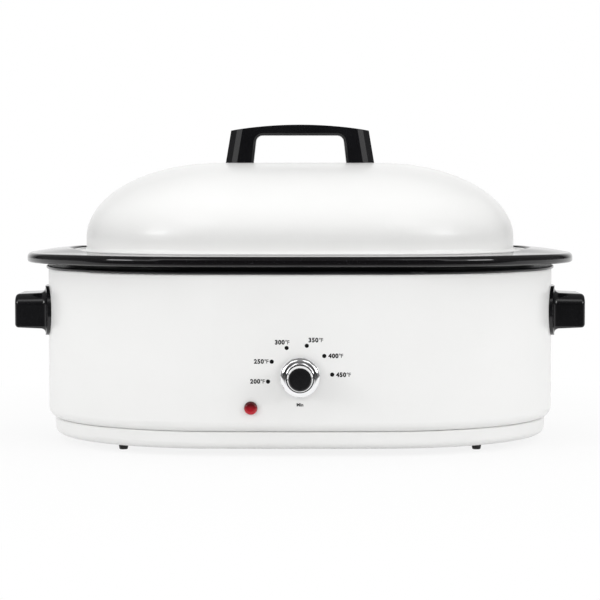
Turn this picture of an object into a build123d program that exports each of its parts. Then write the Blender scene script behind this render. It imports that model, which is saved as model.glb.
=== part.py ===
from build123d import *
import math
import os

# Electric roaster oven, modelled at its real size in millimetres, +Z up, front towards -Y.
# The origin is on the table, below the middle of the whole appliance, knob included.
# Everything round the body is parallel to one plan oval of four tangent arcs, so a size
# called a half length is how far that piece reaches from the oval's centre along X.

# ------------------------------------------------------------------ driving dimensions
# plan oval, at the outside of the body wall
BODY_HALF_LENGTH = 262.5
BODY_HALF_DEPTH = 185.5
SIDE_ARC_RADIUS = 2260.0

# heights above the table
FOOT_HEIGHT = 7.0
BODY_BOTTOM = 24.5
BODY_TOP = 179.1
CREST_RISE = 20.6

# outer body, a drawn steel wrapper
BODY_SHEET = 0.8
BODY_LOWER_CURL = 9.5
BODY_HEM_WIDTH = 12.0
BODY_TOP_FLANGE = 12.0

# base pan
PAN_SHEET = 0.8
PAN_INSET = 6.3
PAN_DRAFT = 1.0
PAN_BOTTOM_RADIUS = 7.0
PAN_COLLAR_HEIGHT = 13.0
PAN_COLLAR_GAP = 0.8
PANEL_MARGIN = 52.0
PANEL_RISE = 3.4
VENT_PITCH = 22.0
VENT_Y = 20.0
VENT_COUNT = 5
VENT_LENGTH = 24.0
VENT_WIDTH = 4.0

# feet
FOOT_END_INSET = 85.5
FOOT_SIDE_INSET = 73.5
FOOT_TOP_RADIUS = 5.3
FOOT_BOTTOM_RADIUS = 4.2
FOOT_PLUG_RADIUS = 3.2
FOOT_PLUG_LENGTH = 3.0

# rim ring, the black moulding between the body and the cookwell
RING_OVERHANG = 2.2
RING_BEAD_HEIGHT = 3.6
RING_SKIRT = 1.1
RING_THICKNESS = 2.4
RING_SHELF_INSET = 18.5
RING_SHELF_GAP = 1.5

# inner liner, the steel well that the heater is wrapped around
LINER_INSET = 36.5
LINER_SHEET = 0.8
LINER_CORNER = 22.0
LINER_AIR_GAP = 5.0
LINER_FLOOR_GAP = 0.3

# heater band and insulation
BAND_THICKNESS = 2.5
BAND_BOTTOM = 62.0
BAND_HEIGHT = 50.0
BAND_FRONT_GAP = 96.0
BAND_TAB = 9.0
INSULATION_THICKNESS = 18.0
INSULATION_BOTTOM = 36.0
INSULATION_TOP = 174.0
INSULATION_POCKET = 150.0
INSULATION_GAP = 0.5

# cookwell, the lift-out enamelled pan
COOKWELL_SHEET = 1.2
COOKWELL_FLOOR = 38.0
COOKWELL_LINER_GAP = 6.5
COOKWELL_DRAFT = 5.5
COOKWELL_CORNER = 20.0
LEDGE_WIDTH = 20.0
LEDGE_DEPTH = 4.4
CREST_SETBACK = 3.5
FLANGE_CROWN_RADIUS = 100.0
RIM_END_OVERHANG = 21.8
RIM_SIDE_OVERHANG = 11.5
RIM_ROLL_RADIUS = 5.0
ROLL_TUCK = 0.35

# lid
LID_SHEET = 1.0
LID_LIP_GAP = 3.5
LID_LIP_WIDTH = 13.0
LID_WALL_RISE = 14.7
LID_RIDGE_HALF_DEPTH = 8.0
LID_DOME_RISE = 77.5
LID_LIP_FILLET = 4.0
LID_HEM_RADIUS = 1.3

# lid handle
LID_HANDLE_FOOT_INSET = 7.6
LID_HANDLE_SHOULDER_INSET = 13.2
LID_HANDLE_SHOULDER_RISE = 33.5
LID_HANDLE_RISE = 39.5
LID_HANDLE_DEPTH = 28.0
LID_HANDLE_WINDOW_FOOT_INSET = 36.8
LID_HANDLE_WINDOW_TOP_INSET = 40.0
LID_HANDLE_WINDOW_RISE = 28.3
LID_HANDLE_WINDOW_CORNER = 7.0
LID_HANDLE_EDGE = 2.4
LID_HANDLE_BEVEL_LENGTH = 5.5
LID_HANDLE_BEVEL_DEPTH = 2.0
LID_HANDLE_SIDE_LENGTH = 6.3
LID_HANDLE_SIDE_DEPTH = 7.0
LID_HANDLE_SCREW_INSET = 24.0
LID_SCREW_RADIUS = 2.0
LID_SCREW_DEPTH = 16.0
WASHER_RADIUS = 6.0
WASHER_THICKNESS = 0.8

# side handles
HANDLE_PROJECTION = 32.5
HANDLE_MIDDLE = 134.5
HANDLE_PLATE_WIDTH = 100.0
HANDLE_PLATE_HEIGHT = 51.0
HANDLE_PLATE_CORNER = 22.0
HANDLE_PLATE_THICKNESS = 3.5
GRIP_ROOT_WIDTH = 77.0
GRIP_ROOT_HEIGHT = 38.5
GRIP_DRAFT_ANGLE = 2.5
GRIP_TOP_RADIUS = 13.0
GRIP_BOTTOM_RADIUS = 3.5
GRIP_FLARE = 5.5
GRIP_END_RADIUS = 4.0
GRIP_WALL = 3.4
HANDLE_ROOT_DEPTH = 14.0
HANDLE_SCREW_SPACING = 44.0
HANDLE_BOSS_RADIUS = 5.0
HANDLE_SCREW_RADIUS = 2.0
HANDLE_SCREW_DEPTH = 11.0

# control knob and its shaft, on the front wall
KNOB_HEIGHT = 78.5
KNOB_REACH = 30.0
KNOB_WALL_GAP = 1.0
KNOB_SKIRT_RADIUS = 20.1
KNOB_SKIRT_RISE = 6.0
KNOB_GRIP_BASE_RADIUS = 14.9
KNOB_GRIP_TOP_RADIUS = 13.3
KNOB_GRIP_LENGTH = 24.5
KNOB_CAP_RADIUS = 10.8
KNOB_SHELL = 1.2
SHAFT_RADIUS = 3.0
SHAFT_FLAT = 1.0
SHAFT_CLEARANCE = 0.05
KNOB_BOSS_START = 1.6
KNOB_BOSS_RADIUS = 5.4
KNOB_BOSS_LENGTH = 18.0

# thermostat, behind the knob
BRACKET_WIDTH = 64.0
BRACKET_HEIGHT = 40.0
BRACKET_SHEET = 1.2
BRACKET_FOOT = 10.0
THERMOSTAT_WIDTH = 34.0
THERMOSTAT_HEIGHT = 28.0
THERMOSTAT_DEPTH = 11.0
BUSH_RADIUS = 5.5
BLADE_LENGTH = 46.0
BLADE_WIDTH = 8.0
BLADE_SHEET = 0.6
BLADE_SPACING = 3.2
BRACKET_SCREW_SPACING = 28.0
SMALL_SCREW_RADIUS = 1.5
SMALL_SCREW_DEPTH = 7.0

# indicator lamp
LENS_X = -47.8
LENS_HEIGHT = 48.5
LENS_RADIUS = 6.5
LENS_DOME = 4.2
LENS_STEM_RADIUS = 4.6
LENS_STEM_LENGTH = 9.0
LAMP_RADIUS = 3.0
LAMP_LENGTH = 18.0
RETAINER_RADIUS = 8.0

# mains entry at the back
GLAND_X = 70.0
GLAND_HEIGHT = 58.0
GLAND_HOLE_RADIUS = 8.0
GLAND_FLANGE_RADIUS = 11.0
GLAND_CORD_RADIUS = 4.2
GLAND_REACH = 8.0
TERMINAL_LENGTH = 44.0
TERMINAL_WIDTH = 20.0
TERMINAL_HEIGHT = 13.0
TERMINAL_Y = 60.0

# spacer posts between the pan and the liner
POST_X = 120.0
POST_Y = 60.0
POST_RADIUS = 6.0
POST_SCREW_RADIUS = 2.0
POST_SCREW_DEPTH = 10.0

# wire rack in the cookwell
RACK_GAP = 21.0
RACK_RISE = 14.0
RACK_RIM_WIRE = 2.2
RACK_CROSS_WIRE = 1.6
RACK_STRINGER_WIRE = 2.0
RACK_PITCH = 26.0
RACK_CROSS_COUNT = 13
RACK_STRINGER_Y = 62.0
RACK_FOOT_X = 130.0
RACK_FOOT_SPREAD = 24.0
RACK_BAIL_WIDTH = 76.0
RACK_BAIL_RISE = 30.0
RACK_BAIL_CORNER = 10.0
RACK_WELD = 0.5
REST_GAP = 0.3

# fasteners
HEAD_HEIGHT = 2.0
HEAD_OVER_SHANK = 1.9

# ------------------------------------------------------------------ sizes that follow
LINER_HALF_LENGTH = BODY_HALF_LENGTH - LINER_INSET
COOKWELL_MOUTH_HALF_LENGTH = LINER_HALF_LENGTH - COOKWELL_LINER_GAP
COOKWELL_FLOOR_HALF_LENGTH = COOKWELL_MOUTH_HALF_LENGTH - COOKWELL_DRAFT
LEDGE_OUTER = COOKWELL_MOUTH_HALF_LENGTH + LEDGE_WIDTH
CREST_HALF_LENGTH = LEDGE_OUTER + CREST_SETBACK
RIM_HALF_LENGTH = BODY_HALF_LENGTH + RIM_END_OVERHANG
RIM_HALF_DEPTH = BODY_HALF_DEPTH + RIM_SIDE_OVERHANG
RING_SHELF_OUTER = BODY_HALF_LENGTH - RING_SHELF_INSET
RING_SHELF_INNER = LINER_HALF_LENGTH + RING_SHELF_GAP
LID_LIP_HALF_LENGTH = LEDGE_OUTER - LID_LIP_GAP
LID_WALL_HALF_LENGTH = LID_LIP_HALF_LENGTH - LID_LIP_WIDTH
LID_DOME_RUN = LID_WALL_HALF_LENGTH - BODY_HALF_LENGTH + BODY_HALF_DEPTH - LID_RIDGE_HALF_DEPTH
LID_RIDGE_HALF_LENGTH = LID_WALL_HALF_LENGTH - LID_DOME_RUN
LID_HANDLE_FOOT_HALF = LID_RIDGE_HALF_LENGTH - LID_HANDLE_FOOT_INSET
LID_HANDLE_SHOULDER_HALF = LID_RIDGE_HALF_LENGTH - LID_HANDLE_SHOULDER_INSET
LID_HANDLE_WINDOW_FOOT_HALF = LID_RIDGE_HALF_LENGTH - LID_HANDLE_WINDOW_FOOT_INSET
LID_HANDLE_WINDOW_TOP_HALF = LID_RIDGE_HALF_LENGTH - LID_HANDLE_WINDOW_TOP_INSET
LID_HANDLE_SCREW_X = LID_RIDGE_HALF_LENGTH - LID_HANDLE_SCREW_INSET
RACK_HALF_LENGTH = COOKWELL_FLOOR_HALF_LENGTH - RACK_GAP
HANDLE_REACH = BODY_HALF_LENGTH + HANDLE_PROJECTION
FOOT_X = BODY_HALF_LENGTH - FOOT_END_INSET
FOOT_Y = BODY_HALF_DEPTH - FOOT_SIDE_INSET
BODY_CENTRE_Y = (BODY_HALF_DEPTH + KNOB_REACH - RIM_HALF_DEPTH) / 2
CREST_TOP = BODY_TOP + CREST_RISE
PAN_BOTTOM = FOOT_HEIGHT
PAN_SHOULDER = BODY_BOTTOM
PANEL_UNDERSIDE = PAN_BOTTOM + PANEL_RISE
COOKWELL_UNDERSIDE = COOKWELL_FLOOR - COOKWELL_SHEET
LEDGE_TOP = CREST_TOP - LEDGE_DEPTH
LID_SHOULDER = LEDGE_TOP + LID_WALL_RISE
LID_TOP = LID_SHOULDER + LID_DOME_RISE
RING_SHELF_TOP = LEDGE_TOP - COOKWELL_SHEET
LINER_TOP = RING_SHELF_TOP - RING_THICKNESS
LINER_BOTTOM = COOKWELL_UNDERSIDE - LINER_AIR_GAP - LINER_SHEET
BAND_HALF_LENGTH = LINER_HALF_LENGTH + BAND_THICKNESS
FRONT_WALL = -BODY_HALF_DEPTH
FRONT_INSIDE = FRONT_WALL + BODY_SHEET
BRACKET_SAG = (BRACKET_WIDTH / 2) ** 2 / (2 * SIDE_ARC_RADIUS)
BRACKET_FACE = FRONT_INSIDE + BRACKET_SAG
THERMOSTAT_FACE = BRACKET_FACE + BRACKET_SHEET
THERMOSTAT_BACK = THERMOSTAT_FACE + THERMOSTAT_DEPTH
ROLL_HALF_LENGTH = RIM_HALF_LENGTH - RIM_ROLL_RADIUS
ROLL_HALF_DEPTH = RIM_HALF_DEPTH - RIM_ROLL_RADIUS

# the plan oval's arcs
SIDE_CENTRE = SIDE_ARC_RADIUS - BODY_HALF_DEPTH
BODY_END_RADIUS = (2 * SIDE_ARC_RADIUS * BODY_HALF_DEPTH - BODY_HALF_DEPTH**2 - BODY_HALF_LENGTH**2) / (
    2 * (SIDE_ARC_RADIUS - BODY_HALF_LENGTH)
)
BODY_END_X = BODY_HALF_LENGTH - BODY_END_RADIUS
JOIN_COSINE = BODY_END_X / math.hypot(BODY_END_X, SIDE_CENTRE)

FRONT = -1
BACK = 1


def level(height):
    """A horizontal plane over the centre of the plan oval."""
    return Plane((0, BODY_CENTRE_Y, height))


def front(depth, across=0.0, height=0.0):
    """An upright plane facing the front, at a depth behind the plan centre."""
    return Plane((across, BODY_CENTRE_Y + depth, height), x_dir=(1, 0, 0), z_dir=(0, -1, 0))


SECTION = front(0)


def four_arc_oval(half_length, half_depth, side_radius):
    """Draws a closed oval of tangent arcs in the open line, starting at its +X tip."""
    end_radius = (2 * side_radius * half_depth - half_depth**2 - half_length**2) / (
        2 * (side_radius - half_length)
    )
    end_x = half_length - end_radius
    side_y = side_radius - half_depth
    join = math.degrees(math.atan2(side_y, end_x))
    CenterArc((end_x, 0), end_radius, 0, join)
    CenterArc((0, -side_y), side_radius, join, 180 - 2 * join)
    CenterArc((-end_x, 0), end_radius, 180 - join, 2 * join)
    CenterArc((0, side_y), side_radius, 180 + join, 180 - 2 * join)
    CenterArc((end_x, 0), end_radius, -join, join)


def body_oval(half_length):
    """An oval parallel to the body wall."""
    outset = half_length - BODY_HALF_LENGTH
    four_arc_oval(half_length, BODY_HALF_DEPTH + outset, SIDE_ARC_RADIUS + outset)


def on_wall(across, height, outset=0.0, side=FRONT):
    """An upright plane tangent to the front or back wall, facing out of the body."""
    turn = math.asin(across / SIDE_ARC_RADIUS)
    reach = SIDE_ARC_RADIUS + outset
    origin = (
        reach * math.sin(turn),
        BODY_CENTRE_Y + side * (reach * math.cos(turn) - SIDE_CENTRE),
        height,
    )
    outward = (math.sin(turn), side * math.cos(turn), 0)
    return Plane(origin, x_dir=(-side * math.cos(turn), math.sin(turn), 0), z_dir=outward)


def end_plane(reach, end=1):
    """An upright plane across an end of the body at the handles' height, facing outwards."""
    return Plane((end * reach, BODY_CENTRE_Y, HANDLE_MIDDLE), x_dir=(0, end, 0), z_dir=(end, 0, 0))


def oval_depth(half_length, across):
    """Half depth of an oval parallel to the body wall, at a distance from its centre."""
    outset = half_length - BODY_HALF_LENGTH
    end_radius = BODY_END_RADIUS + outset
    if abs(across) < BODY_END_X + end_radius * JOIN_COSINE:
        return math.sqrt((SIDE_ARC_RADIUS + outset) ** 2 - across**2) - SIDE_CENTRE
    return math.sqrt(end_radius**2 - (abs(across) - BODY_END_X) ** 2)


def crown_height(point):
    """Height of the flange's upper surface above a plan point."""
    outset = math.hypot(abs(point.X) - BODY_END_X, point.Y) - BODY_END_RADIUS
    if abs(point.X) < BODY_END_X + BODY_END_RADIUS * JOIN_COSINE:
        outset = math.hypot(point.X, abs(point.Y) + SIDE_CENTRE) - SIDE_ARC_RADIUS
    run = BODY_HALF_LENGTH + outset - CREST_HALF_LENGTH
    return CREST_TOP - FLANGE_CROWN_RADIUS + math.sqrt(FLANGE_CROWN_RADIUS**2 - run**2)


def sheet_outline(points, radii, sheet):
    """Draws the outline of a bent sheet from the middle line of its section."""
    FilletPolyline(*points, radius=radii)
    offset(amount=sheet / 2, side=Side.BOTH)


def save(piece, name):
    """Labels a finished piece and writes it."""
    piece.part.label = name
    export_step(piece.part, f"parts/{name}.step")


os.makedirs("parts", exist_ok=True)

with BuildLine(level(0)) as body_path:
    body_oval(BODY_HALF_LENGTH)

# ------------------------------------------------------------------ cookwell
# A drawn pan: floor, drafted wall, ledge that carries the lid, crowned flange, and a rolled
# rim. The rim outline is wider at the ends than the flange crest, so there it runs lower.
# One quarter is drawn and mirrored twice.
roll_end_radius = (2 * SIDE_ARC_RADIUS * ROLL_HALF_DEPTH - ROLL_HALF_DEPTH**2 - ROLL_HALF_LENGTH**2) / (
    2 * (SIDE_ARC_RADIUS - ROLL_HALF_LENGTH)
)
roll_end_x = ROLL_HALF_LENGTH - roll_end_radius
roll_join = math.atan2(SIDE_ARC_RADIUS - ROLL_HALF_DEPTH, roll_end_x)
join_x = roll_end_x + roll_end_radius * math.cos(roll_join)
join_y = roll_end_radius * math.sin(roll_join)
join_z = crown_height(Vector(join_x, join_y)) - ROLL_TUCK - 0.3
tip_z = crown_height(Vector(ROLL_HALF_LENGTH, 0)) - ROLL_TUCK
join = Vector(join_x, join_y + BODY_CENTRE_Y, join_z)
end_arc = Edge.make_three_point_arc(
    Vector(join_x, BODY_CENTRE_Y - join_y, join_z),
    Vector(ROLL_HALF_LENGTH, BODY_CENTRE_Y, tip_z),
    join,
)
along = end_arc % 1
sideways = Vector(0, along.Y, along.Z)
side_middle = join + Vector(-join_x, 0, 0) + sideways.normalized() * join_x * math.tan(math.asin(sideways.length) / 2)
tip_roll = Edge.make_three_point_arc(join, end_arc @ 0.75, end_arc @ 0.5)
side_roll = Edge.make_tangent_arc(join, along, side_middle)

with BuildPart() as cookwell:
    with BuildSketch(SECTION):
        with BuildLine():
            wall = FilletPolyline(
                (COOKWELL_FLOOR_HALF_LENGTH - 2 * COOKWELL_CORNER, COOKWELL_UNDERSIDE + COOKWELL_SHEET / 2),
                (COOKWELL_FLOOR_HALF_LENGTH, COOKWELL_UNDERSIDE + COOKWELL_SHEET / 2),
                (COOKWELL_MOUTH_HALF_LENGTH, LEDGE_TOP - COOKWELL_SHEET / 2),
                (LEDGE_OUTER, LEDGE_TOP - COOKWELL_SHEET / 2),
                (LEDGE_OUTER + 0.8, CREST_TOP - COOKWELL_SHEET / 2),
                (CREST_HALF_LENGTH, CREST_TOP - COOKWELL_SHEET / 2),
                radius=[COOKWELL_CORNER, 4.0, 1.6, 1.6],
            )
            JernArc(wall @ 1, (1, 0), FLANGE_CROWN_RADIUS, -30)
            offset(amount=COOKWELL_SHEET / 2, side=Side.BOTH)
        make_face()
    sweep(path=body_path.line)
    with BuildSketch(level(0)):
        with BuildLine():
            four_arc_oval(ROLL_HALF_LENGTH, ROLL_HALF_DEPTH, SIDE_ARC_RADIUS)
        make_face()
    extrude(amount=CREST_TOP + 10, mode=Mode.INTERSECT)
    with BuildSketch(level(COOKWELL_UNDERSIDE)):
        with BuildLine():
            body_oval(COOKWELL_FLOOR_HALF_LENGTH - 1.5 * COOKWELL_CORNER)
        make_face()
    extrude(amount=COOKWELL_SHEET)
    split(bisect_by=Plane.YZ)
    split(bisect_by=Plane((0, BODY_CENTRE_Y, 0), z_dir=(0, 1, 0)))
    for roll in (tip_roll, side_roll):
        with BuildSketch(Plane(origin=join, x_dir=along.cross(Vector(0, 0, 1)), z_dir=-along)):
            with BuildLine():
                CenterArc((0, -RIM_ROLL_RADIUS), RIM_ROLL_RADIUS - COOKWELL_SHEET / 2, 105, -265)
                offset(amount=COOKWELL_SHEET / 2, side=Side.BOTH)
            make_face()
        sweep(path=roll)
    mirror(about=Plane((0, BODY_CENTRE_Y, 0), z_dir=(0, 1, 0)))
    mirror(about=Plane.YZ)
save(cookwell, "cookwell")

# ------------------------------------------------------------------ outer body
# The painted wrapper: curled in under the wall to a hem, turned in flat at the top.
with BuildPart() as outer_body:
    with BuildSketch(SECTION):
        with BuildLine():
            sheet_outline(
                [
                    (BODY_HALF_LENGTH - BODY_HEM_WIDTH, BODY_BOTTOM + BODY_SHEET / 2),
                    (BODY_HALF_LENGTH - BODY_SHEET / 2, BODY_BOTTOM + BODY_SHEET / 2),
                    (BODY_HALF_LENGTH - BODY_SHEET / 2, BODY_TOP - BODY_SHEET / 2),
                    (BODY_HALF_LENGTH - BODY_TOP_FLANGE, BODY_TOP - BODY_SHEET / 2),
                ],
                [BODY_LOWER_CURL, 2.0],
                BODY_SHEET,
            )
        make_face()
    sweep(path=body_path.line)
    with BuildSketch(front(FRONT_WALL - 5, 0, KNOB_HEIGHT)):
        Circle(BUSH_RADIUS + 0.4)
        with GridLocations(BRACKET_SCREW_SPACING, 0, 2, 1):
            Circle(SMALL_SCREW_RADIUS + 0.2)
    with BuildSketch(on_wall(LENS_X, LENS_HEIGHT, 5)):
        Circle(LENS_STEM_RADIUS)
    extrude(amount=-20, mode=Mode.SUBTRACT)
    with BuildSketch(on_wall(GLAND_X, GLAND_HEIGHT, 5, BACK)):
        Circle(GLAND_HOLE_RADIUS)
    extrude(amount=-20, mode=Mode.SUBTRACT)
    for end in (-1, 1):
        with BuildSketch(end_plane(BODY_HALF_LENGTH - 10, end)):
            with GridLocations(HANDLE_SCREW_SPACING, 0, 2, 1):
                Circle(HANDLE_SCREW_RADIUS + 0.2)
        extrude(amount=20, mode=Mode.SUBTRACT)
save(outer_body, "outer_body")

# ------------------------------------------------------------------ base pan
# A shallow tray: a collar stands inside the body's hem, a raised panel stiffens the floor.
with BuildPart() as base_pan:
    panel_edge = BODY_HALF_LENGTH - PANEL_MARGIN
    collar = BODY_HALF_LENGTH - BODY_HEM_WIDTH - PAN_COLLAR_GAP - PAN_SHEET / 2
    shoulder = BODY_HALF_LENGTH - PAN_INSET - PAN_SHEET / 2
    with BuildSketch(SECTION):
        with BuildLine():
            sheet_outline(
                [
                    (collar, PAN_SHOULDER + PAN_COLLAR_HEIGHT),
                    (collar, PAN_SHOULDER - PAN_SHEET / 2),
                    (shoulder, PAN_SHOULDER - PAN_SHEET / 2),
                    (shoulder - PAN_DRAFT, PAN_BOTTOM + PAN_SHEET / 2),
                    (panel_edge, PAN_BOTTOM + PAN_SHEET / 2),
                    (panel_edge - PANEL_RISE, PANEL_UNDERSIDE + PAN_SHEET / 2),
                    (panel_edge - 5 * PANEL_RISE, PANEL_UNDERSIDE + PAN_SHEET / 2),
                ],
                [1.0, 1.2, PAN_BOTTOM_RADIUS, 1.5, 1.5],
                PAN_SHEET,
            )
        make_face()
    sweep(path=body_path.line)
    with BuildSketch(level(PANEL_UNDERSIDE)):
        with BuildLine():
            body_oval(panel_edge - 4 * PANEL_RISE)
        make_face()
        with GridLocations(2 * POST_X, 2 * POST_Y, 2, 2):
            Circle(POST_SCREW_RADIUS + 0.3, mode=Mode.SUBTRACT)
        with GridLocations(VENT_PITCH, 2 * VENT_Y, VENT_COUNT, 2):
            SlotOverall(VENT_LENGTH, VENT_WIDTH, rotation=90, mode=Mode.SUBTRACT)
    extrude(amount=PAN_SHEET)
    with BuildSketch(level(0)):
        with GridLocations(2 * FOOT_X, 2 * FOOT_Y, 2, 2):
            Circle(FOOT_PLUG_RADIUS)
    extrude(amount=PAN_BOTTOM + 2, mode=Mode.SUBTRACT)
save(base_pan, "base_pan")

# ------------------------------------------------------------------ feet
# Rubber feet pushed through the pan, held by a barb above the sheet.
for name, x, y in (
    ("foot_front_left", -FOOT_X, -FOOT_Y),
    ("foot_front_right", FOOT_X, -FOOT_Y),
    ("foot_back_left", -FOOT_X, FOOT_Y),
    ("foot_back_right", FOOT_X, FOOT_Y),
):
    barb = PAN_BOTTOM + PAN_SHEET
    with BuildPart() as foot:
        with BuildSketch(Plane((x, BODY_CENTRE_Y + y, 0), x_dir=(1, 0, 0), z_dir=(0, -1, 0))):
            Polygon(
                (0, 0),
                (FOOT_BOTTOM_RADIUS - 0.6, 0),
                (FOOT_BOTTOM_RADIUS, 0.6),
                (FOOT_TOP_RADIUS, FOOT_HEIGHT),
                (FOOT_PLUG_RADIUS, FOOT_HEIGHT),
                (FOOT_PLUG_RADIUS, barb),
                (FOOT_PLUG_RADIUS + 0.8, barb),
                (FOOT_PLUG_RADIUS - 0.9, barb + FOOT_PLUG_LENGTH),
                (0, barb + FOOT_PLUG_LENGTH),
                align=None,
            )
        revolve(axis=Axis((x, BODY_CENTRE_Y + y, 0), (0, 0, 1)))
    save(foot, name)

# ------------------------------------------------------------------ rim ring
# The black moulding that caps the body and carries the cookwell's ledge on its upper shelf.
with BuildPart() as rim_ring:
    with BuildSketch(SECTION):
        ring_bottom = BODY_TOP - RING_SKIRT
        ring_top = ring_bottom + RING_BEAD_HEIGHT
        web_inner = RING_SHELF_OUTER - RING_THICKNESS
        Polygon(
            (BODY_HALF_LENGTH, ring_bottom),
            (BODY_HALF_LENGTH + RING_OVERHANG, ring_bottom),
            (BODY_HALF_LENGTH + RING_OVERHANG, ring_top),
            (RING_SHELF_OUTER, ring_top),
            (RING_SHELF_OUTER, RING_SHELF_TOP),
            (RING_SHELF_INNER, RING_SHELF_TOP),
            (RING_SHELF_INNER, LINER_TOP),
            (web_inner, LINER_TOP),
            (web_inner, BODY_TOP),
            (BODY_HALF_LENGTH, BODY_TOP),
            align=None,
        )
        corners = vertices()
        fillet(corners.filter_by(lambda v: v.X > BODY_HALF_LENGTH + 1), radius=1.5)
    sweep(path=body_path.line)
save(rim_ring, "rim_ring")

# ------------------------------------------------------------------ inner liner
# The fixed steel well: a wall with a flange under the ring's shelf, and a flat floor inside
# its lower corner.
with BuildPart() as inner_liner:
    liner_wall = LINER_HALF_LENGTH - LINER_SHEET / 2
    with BuildSketch(SECTION):
        with BuildLine():
            sheet_outline(
                [
                    (web_inner - 0.5, LINER_TOP - LINER_SHEET / 2),
                    (liner_wall, LINER_TOP - LINER_SHEET / 2),
                    (liner_wall, LINER_BOTTOM + LINER_SHEET / 2),
                    (liner_wall - 2 * LINER_CORNER, LINER_BOTTOM + LINER_SHEET / 2),
                ],
                [3.0, LINER_CORNER],
                LINER_SHEET,
            )
        make_face()
    sweep(path=body_path.line)
save(inner_liner, "inner_liner")

with BuildPart() as liner_floor:
    with BuildSketch(level(LINER_BOTTOM)):
        with BuildLine():
            body_oval(liner_wall - 2 * LINER_CORNER - LINER_SHEET / 2 - LINER_FLOOR_GAP)
        make_face()
    extrude(amount=LINER_SHEET)
save(liner_floor, "liner_floor")

# ------------------------------------------------------------------ heater band
# Wrapped round the liner, open at the front, with a terminal tab at each end.
with BuildPart() as heater_band:
    band_middle = BAND_BOTTOM + BAND_HEIGHT / 2
    with BuildSketch(SECTION):
        with Locations((LINER_HALF_LENGTH + BAND_THICKNESS / 2, band_middle)):
            Rectangle(BAND_THICKNESS, BAND_HEIGHT)
    sweep(path=body_path.line)
    with BuildSketch(front(FRONT_WALL, 0, band_middle)):
        Rectangle(BAND_FRONT_GAP, 2 * BAND_HEIGHT)
    extrude(amount=-60, mode=Mode.SUBTRACT)
    band_front = -oval_depth(BAND_HALF_LENGTH, BAND_FRONT_GAP / 2)
    with BuildSketch(front(band_front + 1.0, 0, band_middle)):
        with GridLocations(BAND_FRONT_GAP + 2.4, 0, 2, 1):
            Rectangle(2.4, 14.0)
    extrude(amount=BAND_TAB + 1.0)
save(heater_band, "heater_band")

# ------------------------------------------------------------------ insulation
with BuildPart() as insulation_blanket:
    blanket_inner = BAND_HALF_LENGTH + INSULATION_GAP
    blanket_middle = (INSULATION_BOTTOM + INSULATION_TOP) / 2
    with BuildSketch(SECTION):
        with Locations((blanket_inner + INSULATION_THICKNESS / 2, blanket_middle)):
            Rectangle(INSULATION_THICKNESS, INSULATION_TOP - INSULATION_BOTTOM)
    sweep(path=body_path.line)
    with BuildSketch(front(FRONT_WALL, 0, INSULATION_BOTTOM)):
        Rectangle(INSULATION_POCKET, 2 * (BAND_BOTTOM + BAND_HEIGHT - INSULATION_BOTTOM + 15))
    extrude(amount=-60, mode=Mode.SUBTRACT)
save(insulation_blanket, "insulation_blanket")

# ------------------------------------------------------------------ spacer posts and pan screws
with BuildPart() as spacer_posts:
    with BuildSketch(level(PANEL_UNDERSIDE + PAN_SHEET)):
        with GridLocations(2 * POST_X, 2 * POST_Y, 2, 2):
            Circle(POST_RADIUS)
            Circle(POST_SCREW_RADIUS, mode=Mode.SUBTRACT)
    extrude(amount=LINER_BOTTOM - PANEL_UNDERSIDE - PAN_SHEET)
save(spacer_posts, "spacer_posts")

with BuildPart() as pan_screws:
    with BuildSketch(level(PANEL_UNDERSIDE)):
        with GridLocations(2 * POST_X, 2 * POST_Y, 2, 2):
            Circle(POST_SCREW_RADIUS)
    extrude(amount=PAN_SHEET + POST_SCREW_DEPTH)
    with BuildSketch(level(PANEL_UNDERSIDE)):
        with GridLocations(2 * POST_X, 2 * POST_Y, 2, 2):
            Circle(POST_SCREW_RADIUS + HEAD_OVER_SHANK)
    extrude(amount=-HEAD_HEIGHT)
save(pan_screws, "pan_screws")

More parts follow.
